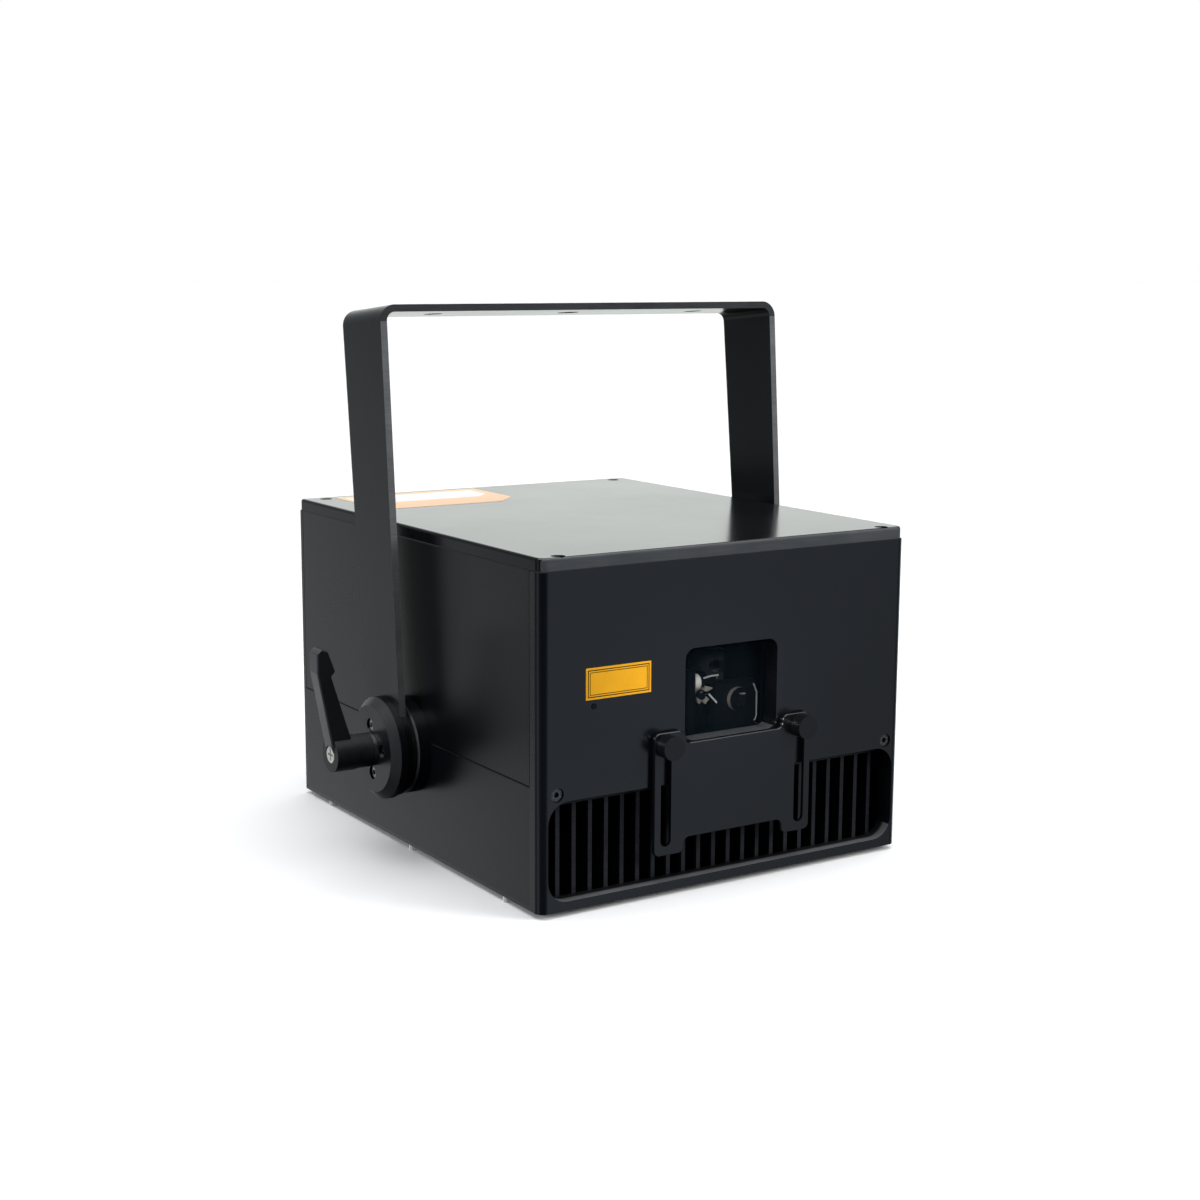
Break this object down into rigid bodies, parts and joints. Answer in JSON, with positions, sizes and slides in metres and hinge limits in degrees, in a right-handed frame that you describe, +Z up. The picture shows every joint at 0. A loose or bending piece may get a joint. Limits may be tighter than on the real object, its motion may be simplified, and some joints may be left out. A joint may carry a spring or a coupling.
{
  "type": "laser show projector",
  "caption": "Box-shaped laser show projector on a tilting yoke, with a finned cooling tunnel, a sliding beam mask, clamp levers and a scanner behind its window.",
  "frame": {"origin": "under the middle of the whole object, on the plane of the base screw heads", "axes": "+Z up, the beam window faces -Y, +X to the right seen from the front"},
  "size_m": [0.3552, 0.3285, 0.3102],
  "materials": {
    "housing_black": "satin black anodised",
    "sink_black": "satin black anodised, finely serrated",
    "yoke_black": "satin black powder coat",
    "pivot_black": "turned, black anodised",
    "lever_black": "fine matte black",
    "washer_fibre": "dull black",
    "screw_black": "black oxide",
    "screw_bright": "bright zinc",
    "window_clear": "clear, coated",
    "label_amber": "printed film",
    "lamp_dark": "clear dark lens",
    "scan_silver": "machined",
    "mirror_face": "polished",
    "mount_black": "black anodised",
    "module_silver": "bead blasted",
    "board_green": "solder mask",
    "fan_black": "moulded",
    "socket_black": "moulded",
    "display_black": "glossy dark face",
    "steel_bright": "nickel plated"
  },
  "bodies": {
    "housing": {"bottom_plate": "housing_black", "heat_sink": "sink_black", "heat_sink_fins": "sink_black", "base_rail_left": "housing_black", "base_rail_right": "housing_black", "side_panel_left": "housing_black", "side_panel_right": "housing_black", "corner_blocks": "mount_black", "front_panel": "housing_black", "rear_panel": "housing_black", "lid": "housing_black", "lid_screws": "screw_black", "front_screws": "screw_black", "rear_screws": "screw_black", "base_screws": "screw_bright", "window_glass": "window_clear", "window_frame": "mount_black", "emission_lamp": "lamp_dark", "front_label": "label_amber", "pivot_studs": "screw_bright", "side_bosses": "pivot_black", "friction_washers": "washer_fibre", "galvo_mount": "mount_black", "galvo_motor_upper": "scan_silver", "galvo_motor_lower": "scan_silver", "laser_module_red": "module_silver", "laser_module_green": "module_silver", "laser_module_blue": "module_silver", "beam_mirrors": "mirror_face", "mirror_holders": "mount_black", "steering_mount": "mount_black", "power_supply": "module_silver", "control_board": "board_green", "galvo_driver_board": "board_green", "fan_frames": "fan_black", "display_module": "display_black", "key_switch": "steel_bright", "power_inlet": "socket_black", "control_sockets": "socket_black", "signal_socket": "steel_bright", "network_socket": "socket_black", "safety_eye": "steel_bright"},
    "yoke": {"yoke": "yoke_black", "clamp_discs": "pivot_black", "clamp_disc_screws": "screw_black"},
    "insert_left": {"lever_insert_left": "pivot_black", "lever_screw_left": "screw_bright"},
    "lever_left": {"clamp_lever_left": "lever_black"},
    "insert_right": {"lever_insert_right": "pivot_black", "lever_screw_right": "screw_bright"},
    "lever_right": {"clamp_lever_right": "lever_black"},
    "mask": {"mask_plate": "housing_black"},
    "thumb_left": {"thumb_screw_left": "pivot_black"},
    "thumb_right": {"thumb_screw_right": "pivot_black"},
    "scan_upper": {"galvo_mirror_upper": "mirror_face"},
    "scan_lower": {"galvo_mirror_lower": "mirror_face"},
    "rotor_left": {"fan_rotor_left": "fan_black"},
    "rotor_right": {"fan_rotor_right": "fan_black"},
    "key": {"key": "steel_bright"},
    "menu": {"menu_knob": "pivot_black"}
  },
  "joints": [
    {"name": "yoke_tilt", "type": "hinge", "parent": "housing", "child": "yoke", "pos_m": [0, -0.00825, 0.063], "axis": [1, 0, 0], "range_deg": [-175, 175]},
    {"name": "lever_turn_left", "type": "hinge", "parent": "housing", "child": "insert_left", "pos_m": [-0.15, -0.00825, 0.063], "axis": [1, 0, 0], "range_deg": [-150, 150]},
    {"name": "lever_lift_left", "type": "slide", "parent": "insert_left", "child": "lever_left", "axis": [-1, 0, 0], "range_m": [0, 0.003], "stiffness_N_per_m": 2000},
    {"name": "lever_turn_right", "type": "hinge", "parent": "housing", "child": "insert_right", "pos_m": [0.15, -0.00825, 0.063], "axis": [1, 0, 0], "range_deg": [-150, 150]},
    {"name": "lever_lift_right", "type": "slide", "parent": "insert_right", "child": "lever_right", "axis": [1, 0, 0], "range_m": [0, 0.003], "stiffness_N_per_m": 2000},
    {"name": "mask_slide", "type": "slide", "parent": "housing", "child": "mask", "axis": [0, 0, 1], "range_m": [0, 0.0515]},
    {"name": "thumb_turn_left", "type": "hinge", "parent": "housing", "child": "thumb_left", "pos_m": [-0.0445, -0.15325, 0.0836], "axis": [0, 1, 0], "continuous": true},
    {"name": "thumb_turn_right", "type": "hinge", "parent": "housing", "child": "thumb_right", "pos_m": [0.0445, -0.15325, 0.0836], "axis": [0, 1, 0], "continuous": true},
    {"name": "scan_upper_turn", "type": "hinge", "parent": "housing", "child": "scan_upper", "pos_m": [0.0015, -0.12825, 0.1083], "axis": [1, 0, 0], "range_deg": [-15, 15], "stiffness_Nm_per_rad": 0.004},
    {"name": "scan_lower_turn", "type": "hinge", "parent": "housing", "child": "scan_lower", "pos_m": [0.0015, -0.12825, 0.0993], "axis": [0, 1, 0], "range_deg": [-15, 15], "stiffness_Nm_per_rad": 0.004},
    {"name": "rotor_spin_left", "type": "hinge", "parent": "housing", "child": "rotor_left", "pos_m": [-0.06, 0.12375, 0.031], "axis": [0, 1, 0], "continuous": true},
    {"name": "rotor_spin_right", "type": "hinge", "parent": "housing", "child": "rotor_right", "pos_m": [0.06, 0.12375, 0.031], "axis": [0, 1, 0], "continuous": true},
    {"name": "key_turn", "type": "hinge", "parent": "housing", "child": "key", "pos_m": [-0.0415, 0.13675, 0.10027], "axis": [0, 1, 0], "range_deg": [0, 90]},
    {"name": "menu_turn", "type": "hinge", "parent": "housing", "child": "menu", "pos_m": [0.098, 0.13675, 0.14853], "axis": [0, 1, 0], "continuous": true}
  ]
}
